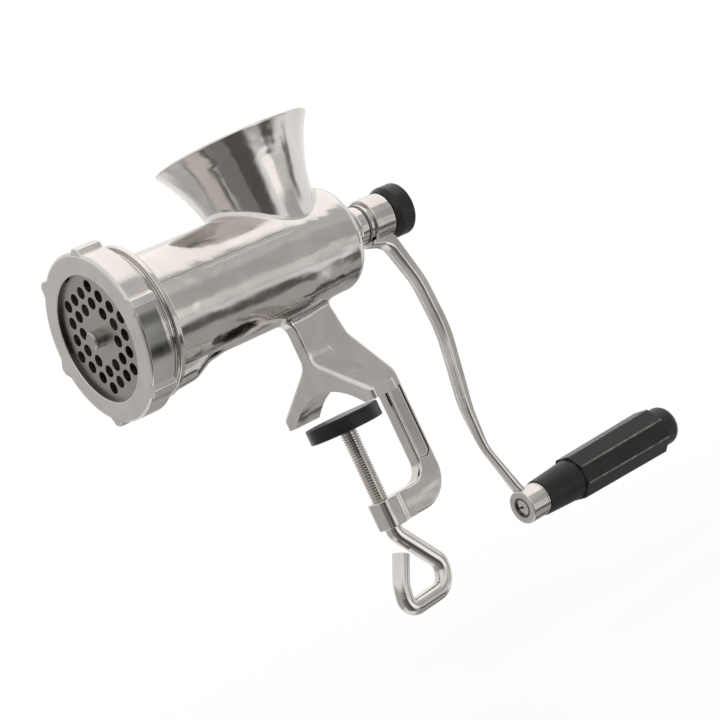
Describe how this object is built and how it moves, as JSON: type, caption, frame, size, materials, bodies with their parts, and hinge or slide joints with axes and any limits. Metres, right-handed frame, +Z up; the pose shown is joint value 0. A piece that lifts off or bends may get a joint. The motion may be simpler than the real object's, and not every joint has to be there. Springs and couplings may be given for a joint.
{
  "type": "manual meat grinder",
  "caption": "Hand-cranked meat grinder with a trumpet hopper, perforated plate held by a ribbed ring nut, crank with a turning grip, and a screw clamp for a table edge.",
  "frame": {"origin": "where the axis of the clamp screw meets the plane of the two feet that rest on the table", "axes": "+Z up along the clamp screw, +Y level along the barrel from the outlet towards the crank, +X completes the frame"},
  "size_m": [0.0786, 0.271, 0.2239],
  "materials": {
    "cast_metal": "polished casting",
    "plate_steel": "fine ground",
    "worm_metal": "satin casting",
    "bright_steel": "bright plated",
    "black_plastic": "moulded satin",
    "bush_bronze": "plain",
    "fibre": "matt"
  },
  "bodies": {
    "frame": {"body_casting": "cast_metal", "plate_key": "bright_steel", "rear_bush": "bush_bronze", "thrust_washer": "fibre", "neck_washer": "fibre"},
    "crank": {"crank_arm": "cast_metal", "worm": "worm_metal", "worm_stud": "bright_steel", "knife": "plate_steel", "handle_spindle": "bright_steel"},
    "grip": {"handle_grip": "black_plastic", "grip_end_cap": "black_plastic", "grip_washer": "bright_steel"},
    "knob_slider": {"knob_washer": "bright_steel"},
    "knob": {"crank_knob": "black_plastic", "knob_screw": "bright_steel"},
    "plate_slider": {"plate": "plate_steel"},
    "ring": {"ring_nut": "cast_metal"},
    "pad_slider": {"clamp_pad": "black_plastic", "pad_cover": "black_plastic"},
    "screw": {"clamp_screw": "bright_steel"}
  },
  "joints": [
    {"name": "crank_turn", "type": "hinge", "parent": "frame", "child": "crank", "pos_m": [0, 0.0533, 0.07185], "axis": [0, -1, 0], "continuous": true},
    {"name": "grip_spin", "type": "hinge", "parent": "crank", "child": "grip", "pos_m": [0, 0.0809, -0.0785], "axis": [0, 1, 0], "continuous": true},
    {"name": "knob_travel", "type": "slide", "parent": "crank", "child": "knob_slider", "axis": [0, 1, 0], "range_m": [0, 0.011]},
    {"name": "knob_turn", "type": "hinge", "parent": "knob_slider", "child": "knob", "pos_m": [0, 0.0674, 0.07185], "axis": [0, 1, 0], "range_deg": [0, 3960]},
    {"name": "ring_travel", "type": "slide", "parent": "frame", "child": "plate_slider", "axis": [0, -1, 0], "range_m": [0, 0.0081]},
    {"name": "ring_turn", "type": "hinge", "parent": "plate_slider", "child": "ring", "pos_m": [0, -0.0914, 0.07185], "axis": [0, -1, 0], "range_deg": [0, 960]},
    {"name": "pad_travel", "type": "slide", "parent": "frame", "child": "pad_slider", "axis": [0, 0, 1], "range_m": [-0.0335, 0.0013]},
    {"name": "screw_turn", "type": "hinge", "parent": "pad_slider", "child": "screw", "pos_m": [0, 0, 0], "axis": [0, 0, 1], "range_deg": [-9504, 336]}
  ],
  "couplings": [
    {"joint": "knob_travel", "follows": "knob_turn", "m_per_rad": 0.00015915},
    {"joint": "ring_travel", "follows": "ring_turn", "m_per_rad": 0.00047746},
    {"joint": "pad_travel", "follows": "screw_turn", "m_per_rad": 0.00019894}
  ]
}
